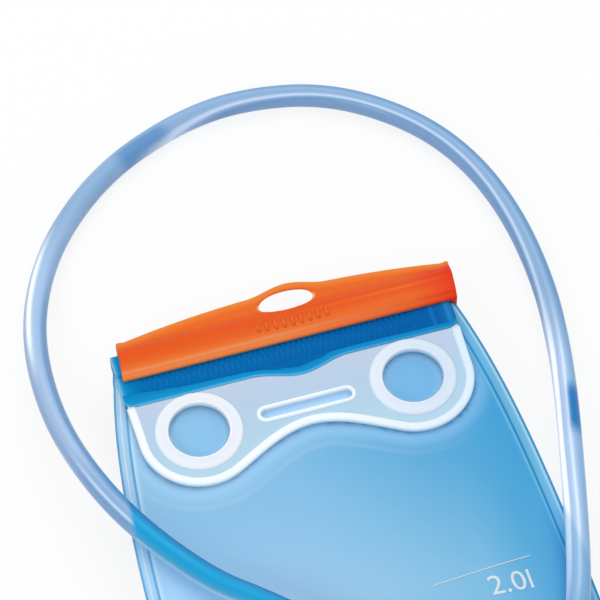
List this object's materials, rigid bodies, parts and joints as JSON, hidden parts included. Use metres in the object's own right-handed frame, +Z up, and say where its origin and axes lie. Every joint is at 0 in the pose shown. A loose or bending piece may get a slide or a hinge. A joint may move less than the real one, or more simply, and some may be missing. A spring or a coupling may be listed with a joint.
{
  "type": "hydration bladder",
  "caption": "Flat translucent water bag with slide-on mouth closure, finger-ring grip tab, outlet port with quick-release elbow, drinking hose and twist valve under a dust cap.",
  "frame": {"origin": "under the middle of the bag with its closure, on the surface that its back lies on; the hose and its fittings aren't counted", "axes": "+X across the bag, +Y along the bag towards the mouth and the slider, +Z up out of the front panel"},
  "size_m": [0.2274, 0.4508, 0.0653],
  "materials": {
    "bag_film": "translucent blue welded film, glossy",
    "lip_blue": "deep blue moulded lips, fine ribs",
    "slider_orange": "orange moulded plastic, satin gloss",
    "tab_clear": "milky clear flexible plastic",
    "port_blue": "blue moulded port welded into the film",
    "port_grey": "grey moulded plastic",
    "port_white": "white moulded plastic",
    "plug_dark": "dark grey moulded plastic",
    "seal_rubber": "black sealing rubber",
    "spring_steel": "thin spring wire",
    "hose_clear": "clear blue-tinted flexible hose",
    "bite_silicone": "soft translucent silicone",
    "cap_clear": "thin clear plastic cap"
  },
  "bodies": {
    "bag": {"front_panel": "bag_film", "back_panel": "bag_film", "front_lip_strip": "lip_blue", "back_lip_strip": "lip_blue", "grip_tab": "tab_clear", "port_flange": "port_blue", "port_seal": "seal_rubber", "port_lock_ring": "port_grey", "port_body": "port_grey", "button_spring": "spring_steel", "poppet_spring": "spring_steel"},
    "closure_slider": {"closure_slider": "slider_orange"},
    "release_button": {"release_button": "slider_orange"},
    "check_poppet": {"check_poppet": "port_white"},
    "tube_kit": {"plug_elbow": "plug_dark", "plug_o_rings": "seal_rubber", "hose_collar": "plug_dark", "hose": "hose_clear", "valve_collar": "plug_dark", "valve_adapter": "plug_dark", "valve_o_ring": "seal_rubber"},
    "valve_head": {"valve_sleeve": "slider_orange", "mouthpiece": "bite_silicone"},
    "dust_cap": {"dust_cap": "cap_clear"}
  },
  "joints": [
    {"name": "closure_slide", "type": "slide", "parent": "bag", "child": "closure_slider", "axis": [1, 0, 0], "range_m": [0, 0.15]},
    {"name": "hose_unplug", "type": "slide", "parent": "bag", "child": "tube_kit", "axis": [0, 0, -1], "range_m": [-0.022, 0]},
    {"name": "button_press", "type": "slide", "parent": "bag", "child": "release_button", "axis": [0, 1, 0], "range_m": [0, 0.0022], "stiffness_N_per_m": 300, "springref_m": -0.002},
    {"name": "poppet_lift", "type": "slide", "parent": "bag", "child": "check_poppet", "axis": [0, 0, -1], "range_m": [-0.0026, 0], "deforming": ["poppet_spring"]},
    {"name": "valve_twist", "type": "hinge", "parent": "tube_kit", "child": "valve_head", "pos_m": [-0.016, -0.019, 0.0515], "axis": [0.6, -0.8, 0], "range_deg": [0, 90]},
    {"name": "cap_pull", "type": "slide", "parent": "valve_head", "child": "dust_cap", "axis": [0.6, -0.8, 0], "range_m": [0, 0.018]}
  ],
  "couplings": [
    {"joint": "poppet_lift", "follows": "hose_unplug", "ratio": 0.11818}
  ]
}
